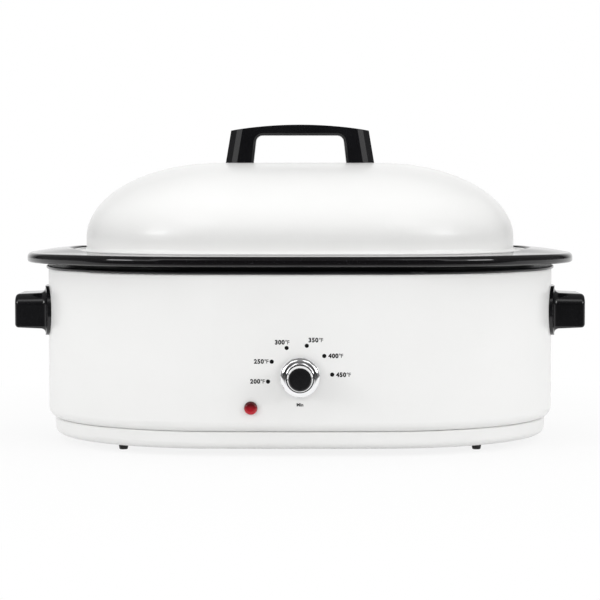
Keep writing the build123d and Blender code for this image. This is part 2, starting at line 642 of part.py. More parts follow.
# ------------------------------------------------------------------ side handles
# A flanged moulding screwed to each end wall from inside. Fingers go up into the grip.
with BuildPart() as side_handle_right:
    root = end_plane(BODY_HALF_LENGTH - HANDLE_ROOT_DEPTH)
    plate_outer = BODY_HALF_LENGTH + HANDLE_PLATE_THICKNESS
    with BuildSketch(root):
        RectangleRounded(HANDLE_PLATE_WIDTH, HANDLE_PLATE_HEIGHT, HANDLE_PLATE_CORNER)
    extrude(amount=HANDLE_ROOT_DEPTH + 20)
    with BuildSketch(level(0)):
        with BuildLine():
            body_oval(plate_outer)
        make_face()
    extrude(amount=BODY_TOP + 20, mode=Mode.INTERSECT)
    with BuildSketch(root):
        Rectangle(GRIP_ROOT_WIDTH, GRIP_ROOT_HEIGHT)
        fillet(vertices().group_by(Axis.Y)[-1], radius=GRIP_TOP_RADIUS)
        fillet(vertices().group_by(Axis.Y)[0], radius=GRIP_BOTTOM_RADIUS)
    extrude(amount=HANDLE_REACH - BODY_HALF_LENGTH + HANDLE_ROOT_DEPTH, taper=GRIP_DRAFT_ANGLE)
    fillet(side_handle_right.edges(Select.NEW), radius=GRIP_FLARE)
    fillet(side_handle_right.faces().sort_by(Axis.X)[-1].edges(), radius=GRIP_END_RADIUS)
    recess_start = plate_outer + 1.5
    with BuildSketch(end_plane(recess_start)):
        with Locations((0, -GRIP_WALL)):
            RectangleRounded(GRIP_ROOT_WIDTH - 5 - 2 * GRIP_WALL, GRIP_ROOT_HEIGHT - GRIP_WALL, 6)
        with Locations((0, -GRIP_ROOT_HEIGHT / 2)):
            Rectangle(GRIP_ROOT_WIDTH - 5 - 2 * GRIP_WALL, 12)
    extrude(amount=HANDLE_REACH - recess_start - GRIP_WALL, taper=GRIP_DRAFT_ANGLE / 2, mode=Mode.SUBTRACT)
    with BuildSketch(end_plane(plate_outer - 2)):
        with GridLocations(HANDLE_SCREW_SPACING, 0, 2, 1):
            Circle(HANDLE_BOSS_RADIUS)
    extrude(amount=2 + 9)
    with BuildSketch(level(0)):
        with BuildLine():
            body_oval(BODY_HALF_LENGTH)
        make_face()
    extrude(amount=BODY_TOP + 20, mode=Mode.SUBTRACT)
    with BuildSketch(root):
        with GridLocations(HANDLE_SCREW_SPACING, 0, 2, 1):
            Circle(HANDLE_SCREW_RADIUS)
    extrude(amount=HANDLE_ROOT_DEPTH + HANDLE_SCREW_DEPTH, mode=Mode.SUBTRACT)
save(side_handle_right, "side_handle_right")

with BuildPart() as side_handle_left:
    mirror(side_handle_right.part, about=Plane.YZ)
save(side_handle_left, "side_handle_left")

with BuildPart() as side_handle_screws:
    for end in (-1, 1):
        seat = BODY_HALF_LENGTH - BODY_SHEET - 1.9
        with BuildSketch(end_plane(seat, end)):
            with GridLocations(HANDLE_SCREW_SPACING, 0, 2, 1):
                Circle(HANDLE_SCREW_RADIUS)
        extrude(amount=HANDLE_SCREW_DEPTH)
        with BuildSketch(end_plane(seat, end)):
            with GridLocations(HANDLE_SCREW_SPACING, 0, 2, 1):
                Circle(HANDLE_SCREW_RADIUS + HEAD_OVER_SHANK)
        extrude(amount=-HEAD_HEIGHT)
save(side_handle_screws, "side_handle_screws")

# ------------------------------------------------------------------ lid
# One drawn sheet: flat lip with a hem, short upright wall, quarter-ellipse dome, flat ridge.
with BuildPart() as lid:
    lip_corner = LID_LIP_FILLET + LID_SHEET
    lip_end = LID_LIP_HALF_LENGTH - LID_HEM_RADIUS
    with BuildSketch(SECTION):
        with BuildLine():
            outer_dome = EllipticalCenterArc(
                (LID_RIDGE_HALF_LENGTH, LID_SHOULDER), LID_DOME_RUN, LID_DOME_RISE, start_angle=0, arc_size=90
            )
            Line(outer_dome @ 1, (LID_RIDGE_HALF_LENGTH, LID_TOP - LID_SHEET))
            inner_dome = EllipticalCenterArc(
                (LID_RIDGE_HALF_LENGTH, LID_SHOULDER),
                LID_DOME_RUN - LID_SHEET,
                LID_DOME_RISE - LID_SHEET,
                start_angle=0,
                arc_size=90,
            )
            Polyline(
                inner_dome @ 0,
                (LID_WALL_HALF_LENGTH - LID_SHEET, LEDGE_TOP + lip_corner),
            )
            turn = (LID_WALL_HALF_LENGTH + LID_LIP_FILLET, LEDGE_TOP + lip_corner)
            CenterArc(turn, lip_corner, 180, 90)
            Polyline(
                (turn[0], LEDGE_TOP),
                (lip_end, LEDGE_TOP),
                (lip_end, LEDGE_TOP + LID_SHEET),
                (turn[0], LEDGE_TOP + LID_SHEET),
            )
            CenterArc(turn, LID_LIP_FILLET, 180, 90)
            Line((LID_WALL_HALF_LENGTH, LEDGE_TOP + lip_corner), outer_dome @ 0)
        make_face()
        with Locations((lip_end, LEDGE_TOP + LID_HEM_RADIUS)):
            Circle(LID_HEM_RADIUS)
    sweep(path=body_path.line)
    with BuildSketch(level(LID_TOP)):
        with BuildLine():
            body_oval(LID_RIDGE_HALF_LENGTH)
        make_face()
    extrude(amount=-LID_SHEET)
    with BuildSketch(level(LID_TOP)):
        with GridLocations(2 * LID_HANDLE_SCREW_X, 0, 2, 1):
            Circle(LID_SCREW_RADIUS + 0.2)
    extrude(amount=-LID_SHEET, mode=Mode.SUBTRACT)
save(lid, "lid")

# ------------------------------------------------------------------ lid handle
# An arch of moulded plastic with two-step bevelled ends and a chamfered finger window.
with BuildPart() as lid_handle:
    crown_height_here = LID_HANDLE_RISE + 1
    slope = (LID_HANDLE_FOOT_HALF - LID_HANDLE_SHOULDER_HALF) / LID_HANDLE_SHOULDER_RISE
    for height, half in ((0, LID_HANDLE_FOOT_HALF), (crown_height_here, LID_HANDLE_FOOT_HALF - slope * crown_height_here)):
        with BuildSketch(level(LID_TOP + height)):
            half_depth = LID_HANDLE_DEPTH / 2
            side = half - LID_HANDLE_SIDE_LENGTH
            face = side - LID_HANDLE_BEVEL_LENGTH
            bevel_y = half_depth - LID_HANDLE_BEVEL_DEPTH
            quarter = [(face, half_depth), (side, bevel_y), (half, bevel_y - LID_HANDLE_SIDE_DEPTH)]
            right = quarter + [(x, -y) for x, y in reversed(quarter)]
            Polygon(*right, *[(-x, -y) for x, y in right], align=None)
    loft(ruled=True)
    with BuildSketch(front(0, 0, LID_TOP)):
        with BuildLine():
            Polyline(
                (-LID_HANDLE_FOOT_HALF - 2, LID_HANDLE_SHOULDER_RISE),
                (-LID_HANDLE_FOOT_HALF - 2, 0),
                (-LID_HANDLE_WINDOW_FOOT_HALF, 0),
            )
            FilletPolyline(
                (-LID_HANDLE_WINDOW_FOOT_HALF, 0),
                (-LID_HANDLE_WINDOW_TOP_HALF, LID_HANDLE_WINDOW_RISE),
                (LID_HANDLE_WINDOW_TOP_HALF, LID_HANDLE_WINDOW_RISE),
                (LID_HANDLE_WINDOW_FOOT_HALF, 0),
                radius=LID_HANDLE_WINDOW_CORNER,
            )
            Polyline(
                (LID_HANDLE_WINDOW_FOOT_HALF, 0),
                (LID_HANDLE_FOOT_HALF + 2, 0),
                (LID_HANDLE_FOOT_HALF + 2, LID_HANDLE_SHOULDER_RISE),
                (LID_HANDLE_SHOULDER_HALF, LID_HANDLE_SHOULDER_RISE),
            )
            ThreePointArc(
                (LID_HANDLE_SHOULDER_HALF, LID_HANDLE_SHOULDER_RISE),
                (0, LID_HANDLE_RISE),
                (-LID_HANDLE_SHOULDER_HALF, LID_HANDLE_SHOULDER_RISE),
            )
            Line(
                (-LID_HANDLE_SHOULDER_HALF, LID_HANDLE_SHOULDER_RISE),
                (-LID_HANDLE_FOOT_HALF - 2, LID_HANDLE_SHOULDER_RISE),
            )
        make_face()
    extrude(amount=LID_HANDLE_DEPTH, both=True, mode=Mode.INTERSECT)
    window_top = LID_TOP + LID_HANDLE_WINDOW_RISE + 0.1
    window_edges = (
        lid_handle.edges()
        .filter_by(lambda e: abs(abs(e.center().Y - BODY_CENTRE_Y) - LID_HANDLE_DEPTH / 2) < 0.01)
        .filter_by(lambda e: abs(e.center().X) < LID_HANDLE_WINDOW_FOOT_HALF)
        .filter_by(lambda e: LID_TOP + 1 < e.center().Z < window_top)
    )
    chamfer(window_edges, length=LID_HANDLE_EDGE)
    with BuildSketch(level(LID_TOP)):
        with GridLocations(2 * LID_HANDLE_SCREW_X, 0, 2, 1):
            Circle(LID_SCREW_RADIUS)
    extrude(amount=LID_SCREW_DEPTH, mode=Mode.SUBTRACT)
save(lid_handle, "lid_handle")

with BuildPart() as lid_handle_washers:
    with BuildSketch(level(LID_TOP - LID_SHEET)):
        with GridLocations(2 * LID_HANDLE_SCREW_X, 0, 2, 1):
            Circle(WASHER_RADIUS)
            Circle(LID_SCREW_RADIUS, mode=Mode.SUBTRACT)
    extrude(amount=-WASHER_THICKNESS)
save(lid_handle_washers, "lid_handle_washers")

with BuildPart() as lid_handle_screws:
    head_seat = LID_TOP - LID_SHEET - WASHER_THICKNESS
    with BuildSketch(level(head_seat)):
        with GridLocations(2 * LID_HANDLE_SCREW_X, 0, 2, 1):
            Circle(LID_SCREW_RADIUS)
    extrude(amount=LID_SCREW_DEPTH)
    with BuildSketch(level(head_seat)):
        with GridLocations(2 * LID_HANDLE_SCREW_X, 0, 2, 1):
            Circle(LID_SCREW_RADIUS + HEAD_OVER_SHANK)
    extrude(amount=-HEAD_HEIGHT)
save(lid_handle_screws, "lid_handle_screws")

# ------------------------------------------------------------------ wire rack
# Rim wire, cross wires on top, two stringers, four bent feet and a bail at each end.
RACK_HEIGHT = COOKWELL_FLOOR + RACK_RISE
CROSS_HEIGHT = RACK_HEIGHT + RACK_RIM_WIRE + RACK_CROSS_WIRE - RACK_WELD
STRINGER_HEIGHT = CROSS_HEIGHT - RACK_CROSS_WIRE - RACK_STRINGER_WIRE + RACK_WELD
with BuildPart() as wire_rack:
    with BuildLine(level(RACK_HEIGHT)) as rack_rim:
        body_oval(RACK_HALF_LENGTH)
    with BuildSketch(SECTION):
        with Locations((RACK_HALF_LENGTH, RACK_HEIGHT)):
            Circle(RACK_RIM_WIRE)
    sweep(path=rack_rim.line)
    for step in range(RACK_CROSS_COUNT):
        across = (step - (RACK_CROSS_COUNT - 1) / 2) * RACK_PITCH
        run = oval_depth(RACK_HALF_LENGTH, across)
        with BuildSketch(front(0, across, CROSS_HEIGHT)):
            Circle(RACK_CROSS_WIRE)
        extrude(amount=run, both=True)
    for side in (-1, 1):
        beyond = math.sqrt((BODY_END_RADIUS + RACK_HALF_LENGTH - BODY_HALF_LENGTH) ** 2 - RACK_STRINGER_Y**2)
        stringer_half = BODY_END_X + beyond
        with BuildSketch(Plane((0, BODY_CENTRE_Y + side * RACK_STRINGER_Y, STRINGER_HEIGHT), z_dir=(1, 0, 0))):
            Circle(RACK_STRINGER_WIRE)
        extrude(amount=stringer_half, both=True)
        for end in (-1, 1):
            foot_x = end * RACK_FOOT_X
            foot_z = COOKWELL_FLOOR + REST_GAP + RACK_CROSS_WIRE
            spread = RACK_FOOT_SPREAD / 2
            with BuildLine(front(side * RACK_STRINGER_Y)) as foot_wire:
                FilletPolyline(
                    (foot_x - spread, STRINGER_HEIGHT),
                    (foot_x - spread, foot_z),
                    (foot_x + spread, foot_z),
                    (foot_x + spread, STRINGER_HEIGHT),
                    radius=4,
                )
            with BuildSketch(
                Plane((foot_x - spread, BODY_CENTRE_Y + side * RACK_STRINGER_Y, STRINGER_HEIGHT), z_dir=(0, 0, -1))
            ):
                Circle(RACK_CROSS_WIRE)
            sweep(path=foot_wire.line)
save(wire_rack, "wire_rack")

# Two lifting bails, welded to the rim wire.
with BuildPart() as rack_bails:
    for end in (-1, 1):
        half_width = RACK_BAIL_WIDTH / 2
        bail_x = end * (BODY_END_X + math.sqrt((BODY_END_RADIUS + RACK_HALF_LENGTH - BODY_HALF_LENGTH) ** 2 - half_width**2))
        with BuildLine(Plane((bail_x, BODY_CENTRE_Y, RACK_HEIGHT), x_dir=(0, 1, 0), z_dir=(1, 0, 0))) as bail:
            FilletPolyline(
                (-half_width, 0),
                (-half_width, RACK_BAIL_RISE),
                (half_width, RACK_BAIL_RISE),
                (half_width, 0),
                radius=RACK_BAIL_CORNER,
            )
        with BuildSketch(Plane((bail_x, BODY_CENTRE_Y - half_width, RACK_HEIGHT))):
            Circle(RACK_STRINGER_WIRE)
        sweep(path=bail.line)
    add(wire_rack.part, mode=Mode.SUBTRACT)
save(rack_bails, "rack_bails")

# ------------------------------------------------------------------ knob
# A bright shell with a domed skirt and a tapered grip, a black core that shows as the cap, and
# the shaft that turns in the thermostat's bush.
KNOB_AXIS = Axis((0, BODY_CENTRE_Y + FRONT_WALL, KNOB_HEIGHT), (0, -1, 0))
KNOB_SECTION = Plane((0, BODY_CENTRE_Y + FRONT_WALL, KNOB_HEIGHT), x_dir=(1, 0, 0), z_dir=(0, 0, -1))
with BuildPart() as knob_bezel:
    skirt_edge = KNOB_WALL_GAP + 1.6
    skirt_top = KNOB_WALL_GAP + KNOB_SKIRT_RISE
    collar_front = KNOB_REACH - 1.0
    with BuildSketch(KNOB_SECTION):
        with BuildLine():
            Line((KNOB_SKIRT_RADIUS - KNOB_SHELL, KNOB_WALL_GAP), (KNOB_SKIRT_RADIUS, KNOB_WALL_GAP))
            Line((KNOB_SKIRT_RADIUS, KNOB_WALL_GAP), (KNOB_SKIRT_RADIUS, skirt_edge))
            ThreePointArc(
                (KNOB_SKIRT_RADIUS, skirt_edge),
                (KNOB_SKIRT_RADIUS - 1.9, skirt_top - 1.4),
                (KNOB_GRIP_BASE_RADIUS, skirt_top),
            )
            Polyline(
                (KNOB_GRIP_BASE_RADIUS, skirt_top),
                (KNOB_GRIP_TOP_RADIUS, KNOB_GRIP_LENGTH),
                (KNOB_CAP_RADIUS + 0.5, collar_front),
                (KNOB_CAP_RADIUS, collar_front),
                (KNOB_CAP_RADIUS, KNOB_GRIP_LENGTH),
                (KNOB_GRIP_TOP_RADIUS - KNOB_SHELL, KNOB_GRIP_LENGTH - 1.0),
                (KNOB_GRIP_BASE_RADIUS - KNOB_SHELL, skirt_top - KNOB_SHELL),
            )
            ThreePointArc(
                (KNOB_GRIP_BASE_RADIUS - KNOB_SHELL, skirt_top - KNOB_SHELL),
                (KNOB_SKIRT_RADIUS - 1.9 - KNOB_SHELL * 0.8, skirt_top - 1.4 - KNOB_SHELL * 0.6),
                (KNOB_SKIRT_RADIUS - KNOB_SHELL, skirt_edge - 0.4),
            )
            Line((KNOB_SKIRT_RADIUS - KNOB_SHELL, skirt_edge - 0.4), (KNOB_SKIRT_RADIUS - KNOB_SHELL, KNOB_WALL_GAP))
        make_face()
    revolve(axis=KNOB_AXIS)
save(knob_bezel, "knob_bezel")

with BuildPart() as knob_core:
    with BuildSketch(KNOB_SECTION):
        Polygon(
            (0, KNOB_BOSS_START),
            (KNOB_BOSS_RADIUS, KNOB_BOSS_START),
            (KNOB_BOSS_RADIUS, KNOB_GRIP_LENGTH - 1.5),
            (KNOB_CAP_RADIUS, KNOB_GRIP_LENGTH - 0.5),
            (KNOB_CAP_RADIUS, KNOB_REACH - 0.8),
            (KNOB_CAP_RADIUS - 0.8, KNOB_REACH),
            (0, KNOB_REACH),
            align=None,
        )
    revolve(axis=KNOB_AXIS)
    with BuildSketch(front(FRONT_WALL - KNOB_BOSS_START, 0, KNOB_HEIGHT)) as shaft_flat_face:
        Circle(SHAFT_RADIUS)
        with Locations((0, SHAFT_RADIUS)):
            Rectangle(2 * SHAFT_RADIUS, 2 * SHAFT_FLAT, mode=Mode.SUBTRACT)
    extrude(amount=KNOB_BOSS_LENGTH, mode=Mode.SUBTRACT)
    with BuildSketch(front(FRONT_WALL - KNOB_REACH, 0, KNOB_HEIGHT)):
        with Locations((0, -KNOB_CAP_RADIUS + 2.4)):
            SlotOverall(3.4, 1.2, rotation=90)
    extrude(amount=-0.6, mode=Mode.SUBTRACT)
save(knob_core, "knob_core")

with BuildPart() as control_shaft:
    with BuildSketch(front(THERMOSTAT_BACK - 0.3, 0, KNOB_HEIGHT)):
        Circle(SHAFT_RADIUS)
    extrude(amount=THERMOSTAT_BACK - 0.3 - FRONT_WALL + KNOB_BOSS_START)
    add(extrude(shaft_flat_face.sketch, amount=KNOB_BOSS_LENGTH, dir=(0, -1, 0)))
save(control_shaft, "control_shaft")

# ------------------------------------------------------------------ thermostat
with BuildPart() as thermostat_bracket:
    with BuildSketch(front(BRACKET_FACE, 0, KNOB_HEIGHT)):
        Rectangle(BRACKET_WIDTH, BRACKET_HEIGHT)
        Circle(BUSH_RADIUS + 0.2, mode=Mode.SUBTRACT)
        with GridLocations(BRACKET_SCREW_SPACING, 0, 2, 1):
            Circle(SMALL_SCREW_RADIUS + 0.2, mode=Mode.SUBTRACT)
    extrude(amount=-BRACKET_SHEET)
    with BuildSketch(front(BRACKET_FACE, 0, KNOB_HEIGHT)):
        with GridLocations(0, BRACKET_HEIGHT - BRACKET_SHEET, 1, 2):
            Rectangle(BRACKET_WIDTH, BRACKET_SHEET)
    extrude(amount=-BRACKET_FOOT)
save(thermostat_bracket, "thermostat_bracket")

with BuildPart() as thermostat_body:
    with BuildSketch(front(THERMOSTAT_BACK, 0, KNOB_HEIGHT)):
        Rectangle(THERMOSTAT_WIDTH, THERMOSTAT_HEIGHT)
    extrude(amount=THERMOSTAT_DEPTH)
    chamfer(thermostat_body.edges().filter_by(Axis.Y), length=2)
    with BuildSketch(front(THERMOSTAT_FACE, 0, KNOB_HEIGHT)):
        Circle(BUSH_RADIUS)
    extrude(amount=THERMOSTAT_FACE - FRONT_WALL + 0.4)
    with BuildSketch(front(THERMOSTAT_BACK, 0, KNOB_HEIGHT)):
        Circle(SHAFT_RADIUS + SHAFT_CLEARANCE)
    extrude(amount=30, mode=Mode.SUBTRACT)
    with BuildSketch(front(THERMOSTAT_FACE, 0, KNOB_HEIGHT)):
        with GridLocations(BRACKET_SCREW_SPACING, 0, 2, 1):
            Circle(SMALL_SCREW_RADIUS)
    extrude(amount=-SMALL_SCREW_DEPTH, mode=Mode.SUBTRACT)
save(thermostat_body, "thermostat_body")

with BuildPart() as thermostat_screws:
    with BuildSketch(front(FRONT_WALL, 0, KNOB_HEIGHT)):
        with GridLocations(BRACKET_SCREW_SPACING, 0, 2, 1):
            Circle(SMALL_SCREW_RADIUS)
    extrude(amount=-(THERMOSTAT_FACE - FRONT_WALL + SMALL_SCREW_DEPTH - 0.5))
    with BuildSketch(front(FRONT_WALL, 0, KNOB_HEIGHT)):
        with GridLocations(BRACKET_SCREW_SPACING, 0, 2, 1):
            Circle(SMALL_SCREW_RADIUS + 1.4)
    extrude(amount=1.6)
save(thermostat_screws, "thermostat_screws")

with BuildPart() as thermostat_blades:
    with BuildSketch(front(THERMOSTAT_BACK, -THERMOSTAT_WIDTH / 2 + 6, KNOB_HEIGHT)):
        Circle(2.4)
    extrude(amount=-(2 * BLADE_SPACING + BLADE_SHEET + 0.8))
    for layer in (1, 2):
        with BuildSketch(front(THERMOSTAT_BACK + layer * BLADE_SPACING, 0, KNOB_HEIGHT)):
            with Locations((4 * layer - 2, 0)):
                SlotOverall(BLADE_LENGTH, BLADE_WIDTH)
        extrude(amount=-BLADE_SHEET)
save(thermostat_blades, "thermostat_blades")

# ------------------------------------------------------------------ indicator lamp
with BuildPart() as indicator_lens:
    with BuildSketch(on_wall(LENS_X, LENS_HEIGHT)):
        Circle(LENS_RADIUS)
    extrude(amount=LENS_DOME)
    fillet(indicator_lens.edges().group_by(Axis.Y)[0], radius=3.0)
    with BuildSketch(on_wall(LENS_X, LENS_HEIGHT)):
        Circle(LENS_STEM_RADIUS)
    extrude(amount=-LENS_STEM_LENGTH)
    with BuildSketch(on_wall(LENS_X, LENS_HEIGHT, -LENS_STEM_LENGTH)):
        Circle(LAMP_RADIUS)
    extrude(amount=LENS_STEM_LENGTH, mode=Mode.SUBTRACT)
save(indicator_lens, "indicator_lens")

with BuildPart() as indicator_lamp:
    with BuildSketch(on_wall(LENS_X, LENS_HEIGHT)):
        Circle(LAMP_RADIUS)
    extrude(amount=-LAMP_LENGTH)
    fillet(indicator_lamp.edges().filter_by(GeomType.CIRCLE), radius=1.2)
    with BuildSketch(on_wall(LENS_X, LENS_HEIGHT, -LAMP_LENGTH)):
        with GridLocations(2.4, 0, 2, 1):
            Circle(0.4)
    extrude(amount=-6)
save(indicator_lamp, "indicator_lamp")

with BuildPart() as lens_retainer:
    with BuildSketch(on_wall(LENS_X, LENS_HEIGHT, -BODY_SHEET - 0.02)):
        Circle(RETAINER_RADIUS)
        Circle(LENS_STEM_RADIUS, mode=Mode.SUBTRACT)
    extrude(amount=-1.0)
save(lens_retainer, "lens_retainer")

# ------------------------------------------------------------------ mains entry
with BuildPart() as cord_gland:
    with BuildSketch(on_wall(GLAND_X, GLAND_HEIGHT, 0, BACK)):
        Circle(GLAND_FLANGE_RADIUS)
    extrude(amount=2.4)
    with BuildSketch(on_wall(GLAND_X, GLAND_HEIGHT, 0, BACK)):
        Circle(GLAND_HOLE_RADIUS)
    extrude(amount=GLAND_REACH)
    chamfer(cord_gland.edges().group_by(Axis.Y)[-1], length=1.6)
    with BuildSketch(on_wall(GLAND_X, GLAND_HEIGHT, 0, BACK)):
        Circle(GLAND_HOLE_RADIUS)
    extrude(amount=-BODY_SHEET - 2)
    with BuildSketch(on_wall(GLAND_X, GLAND_HEIGHT, -BODY_SHEET - 0.03, BACK)):
        RegularPolygon(GLAND_FLANGE_RADIUS, 6)
    extrude(amount=-4)
    with BuildSketch(on_wall(GLAND_X, GLAND_HEIGHT, GLAND_REACH + 2, BACK)):
        Circle(GLAND_CORD_RADIUS)
    extrude(amount=-30, mode=Mode.SUBTRACT)
save(cord_gland, "cord_gland")

with BuildPart() as terminal_block:
    with BuildSketch(level(PANEL_UNDERSIDE + PAN_SHEET)):
        with Locations((0, TERMINAL_Y)):
            Rectangle(TERMINAL_LENGTH, TERMINAL_WIDTH)
    extrude(amount=TERMINAL_HEIGHT)
    with BuildSketch(level(PANEL_UNDERSIDE + PAN_SHEET + TERMINAL_HEIGHT)):
        with Locations((0, TERMINAL_Y)):
            with GridLocations(TERMINAL_LENGTH / 3, TERMINAL_WIDTH / 2, 3, 2):
                Circle(2.8)
    extrude(amount=-6, mode=Mode.SUBTRACT)
save(terminal_block, "terminal_block")
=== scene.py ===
import bpy
import bmesh
import math
from mathutils import Matrix, Vector


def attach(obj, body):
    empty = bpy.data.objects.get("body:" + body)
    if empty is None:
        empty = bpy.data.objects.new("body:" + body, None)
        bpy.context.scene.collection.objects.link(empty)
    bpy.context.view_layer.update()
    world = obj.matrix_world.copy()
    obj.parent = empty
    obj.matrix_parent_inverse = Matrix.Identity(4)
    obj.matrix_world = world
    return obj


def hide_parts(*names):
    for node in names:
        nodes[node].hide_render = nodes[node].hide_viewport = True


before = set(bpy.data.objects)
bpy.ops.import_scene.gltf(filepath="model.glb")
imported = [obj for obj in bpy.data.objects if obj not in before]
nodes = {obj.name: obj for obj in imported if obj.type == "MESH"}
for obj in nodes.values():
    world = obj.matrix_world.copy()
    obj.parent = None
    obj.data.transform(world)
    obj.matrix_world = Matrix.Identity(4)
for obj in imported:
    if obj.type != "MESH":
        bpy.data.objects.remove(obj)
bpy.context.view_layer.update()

# Sizes and places on the oven are in millimetres, and those of the room in metres. In the
# materials, scales are per metre and depths of relief in metres.
MM = 0.001

# The plan oval of the body: four tangent arcs, as the CAD draws it.
HALF_LENGTH = 262.5
HALF_DEPTH = 185.5
SIDE_RADIUS = 2260.0
CENTRE_Y = 9.25
SIDE_CENTRE = SIDE_RADIUS - HALF_DEPTH

# Heights of the knob and the lens on the front wall.
KNOB_Z = 78.5
LENS_Z = 48.5


# ---------------------------------------------------------------- objects
def new_object(name, data):
    obj = bpy.data.objects.new(name, data)
    bpy.context.scene.collection.objects.link(obj)
    return obj


def mesh_object(name, bm, material):
    """An object of one material made from a bmesh, which is freed."""
    mesh = bpy.data.meshes.new(name)
    bm.to_mesh(mesh)
    bm.free()
    mesh.materials.append(material)
    return new_object(name, mesh)


def wall_frame(across, height, outset=0.0):
    """A matrix whose X runs along the front wall, Y up and Z out of it, at a place on the wall."""
    turn = math.asin(across / SIDE_RADIUS)
    reach = SIDE_RADIUS + outset
    place = Vector((reach * math.sin(turn), CENTRE_Y - (reach * math.cos(turn) - SIDE_CENTRE), height)) * MM
    along = Vector((math.cos(turn), math.sin(turn), 0))
    up = Vector((0, 0, 1))
    out = Vector((math.sin(turn), -math.cos(turn), 0))
    return Matrix.Translation(place) @ Matrix((along, up, out)).transposed().to_4x4()


# ---------------------------------------------------------------- shader nodes
def shader_node(tree, kind, operation=None):
    """A new node, with its operation where it is a maths node."""
    node = tree.nodes.new("ShaderNode" + kind)
    if operation is not None:
        node.operation = operation
    return node


def maths(tree, operation, *values):
    node = shader_node(tree, "Math", operation)
    for value, socket in zip(values, node.inputs):
        tree.links.new(value, socket)
    return node.outputs[0]


def map_range(tree, value, start, end, low, high, smooth=False):
    """Low up to the start of a range, high from its end, and a straight or smooth change between."""
    node = shader_node(tree, "MapRange")
    if smooth:
        node.interpolation_type = "SMOOTHSTEP"
    for label, number in (("From Min", start), ("From Max", end), ("To Min", low), ("To Max", high)):
        node.inputs[label].default_value = number
    tree.links.new(value, node.inputs["Value"])
    return node.outputs[0]


def split_vector(tree, vector):
    """The outputs X, Y and Z of a vector."""
    node = shader_node(tree, "SeparateXYZ")
    tree.links.new(vector, node.inputs[0])
    return node.outputs


def vector_from(tree, origin, vector):
    """A vector measured from another origin."""
    node = shader_node(tree, "VectorMath", "SUBTRACT")
    tree.links.new(vector, node.inputs[0])
    node.inputs[1].default_value = origin
    return node.outputs[0]


def vector_length(tree, vector):
    node = shader_node(tree, "VectorMath", "LENGTH")
    tree.links.new(vector, node.inputs[0])
    return node.outputs["Value"]


def mix_shaders(tree, factor, first, second):
    node = shader_node(tree, "MixShader")
    for value, socket in zip((factor, first, second), node.inputs):
        tree.links.new(value, socket)
    return node.outputs[0]


class Shade:
    """A short way to write a node material with one principled surface."""

    def __init__(self, name):
        self.material = bpy.data.materials.new(name)
        self.material.use_nodes = True
        self.tree = self.material.node_tree
        self.tree.nodes.clear()
        output = shader_node(self.tree, "OutputMaterial")
        self.bsdf = shader_node(self.tree, "BsdfPrincipled")
        self.link(self.bsdf.outputs[0], output.inputs[0])
        self.coords = shader_node(self.tree, "TexCoord").outputs["Object"]

    def link(self, value, socket):
        self.tree.links.new(value, socket)

    def set(self, **values):
        """Plain values for inputs of the surface, named with underscores for spaces."""
        for label, value in values.items():
            self.bsdf.inputs[label.replace("_", " ")].default_value = value

    def feed(self, label, value):
        """Link a value to an input of the surface."""
        self.link(value, self.bsdf.inputs[label])

    def stretch(self, x, y, z):
        node = shader_node(self.tree, "Mapping")
        node.inputs["Scale"].default_value = (x, y, z)
        self.link(self.coords, node.inputs["Vector"])
        return node.outputs[0]

    def noise(self, scale, detail=2.0, rough=0.5, vector=None):
        node = shader_node(self.tree, "TexNoise")
        node.inputs["Scale"].default_value = scale
        node.inputs["Detail"].default_value = detail
        node.inputs["Roughness"].default_value = rough
        self.link(vector or self.coords, node.inputs["Vector"])
        return node.outputs["Fac"]

    def cells(self, scale):
        node = shader_node(self.tree, "TexVoronoi")
        node.inputs["Scale"].default_value = scale
        self.link(self.coords, node.inputs["Vector"])
        return node.outputs["Distance"]

    def ramp(self, value, low, high, at=(0.3, 0.7)):
        return map_range(self.tree, value, *at, low, high)

    def colour(self, factor, first, second):
        """The base colour, from the first to the second as the factor goes from 0 to 1."""
        node = shader_node(self.tree, "Mix")
        node.data_type = "RGBA"
        node.inputs["A"].default_value = (*first, 1)
        node.inputs["B"].default_value = (*second, 1)
        self.link(factor, node.inputs["Factor"])
        self.feed("Base Color", node.outputs["Result"])

    def bump(self, height, strength, distance, after=None):
        """Relief on the surface, laid over an earlier one where that is given."""
        node = shader_node(self.tree, "Bump")
        node.inputs["Strength"].default_value = strength
        node.inputs["Distance"].default_value = distance
        self.link(height, node.inputs["Height"])
        if after is not None:
            self.link(after, node.inputs["Normal"])
        self.feed("Normal", node.outputs[0])
        return node.outputs[0]

    def roughness(self, value):
        self.feed("Roughness", value)


# ---------------------------------------------------------------- materials
# The grip's black side: two radii from the knob's axis, the reach from the wall where it starts,
# and how far its colour fades to either side of these.
KNOB_BLACK_INNER = 12.6
KNOB_BLACK_OUTER = 15.2
KNOB_BLACK_START = 19.0
KNOB_BLACK_FADE = 0.05
# The black side's inner radius is measured from a centre this far above the axis, so that the black reaches
# further in low on the knob's front: a thin painted shade line there.
KNOB_PAINTED_SHADE_LIFT = 0.5
# Painted light on the lens: it is painted bright at its foot, where light gathers inside it, and painted
# shade darkens it towards its top, between these heights from its centre.
LENS_PAINTED_LIGHT_UP_TO = -4.5
LENS_PAINTED_SHADE_FROM = 3.5


def white_enamel():
    s = Shade("white enamel")
    s.set(Coat_Weight=0.3, Coat_Roughness=0.16, Specular_IOR_Level=0.5)
    s.colour(s.ramp(s.noise(7, 3), 0, 1), (0.835, 0.835, 0.826), (0.862, 0.862, 0.854))
    s.roughness(s.ramp(s.noise(35, 3), 0.34, 0.42))
    peel = s.bump(s.noise(420, 2), 0.10, 0.0004)
    s.bump(s.noise(60, 2), 0.06, 0.0012, peel)
    return s.material


